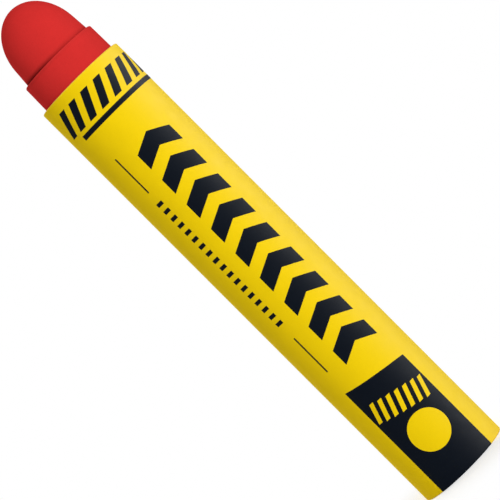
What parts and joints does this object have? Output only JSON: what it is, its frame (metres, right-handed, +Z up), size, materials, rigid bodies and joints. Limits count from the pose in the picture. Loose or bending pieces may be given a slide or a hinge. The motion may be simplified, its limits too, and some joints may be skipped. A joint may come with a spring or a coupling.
{
  "type": "solid paint marker",
  "caption": "Solid paint marker: a cast stick of paint with a domed tip and a stepped collar, held in a wound paper sleeve with a printed outside. It stands on its base rim.",
  "frame": {"origin": "centre of the sleeve's base rim, on the surface that the marker stands on", "axes": "+Z up the marker's axis to the domed tip; the printed side of the sleeve faces -Y"},
  "size_m": [0.0194, 0.0194, 0.1207],
  "materials": {
    "solid_paint": "waxy satin paint, cast",
    "printed_paper": "satin printed paper"
  },
  "bodies": {
    "root": {"paint_stick": "solid_paint", "paper_sleeve": "printed_paper"}
  },
  "joints": []
}
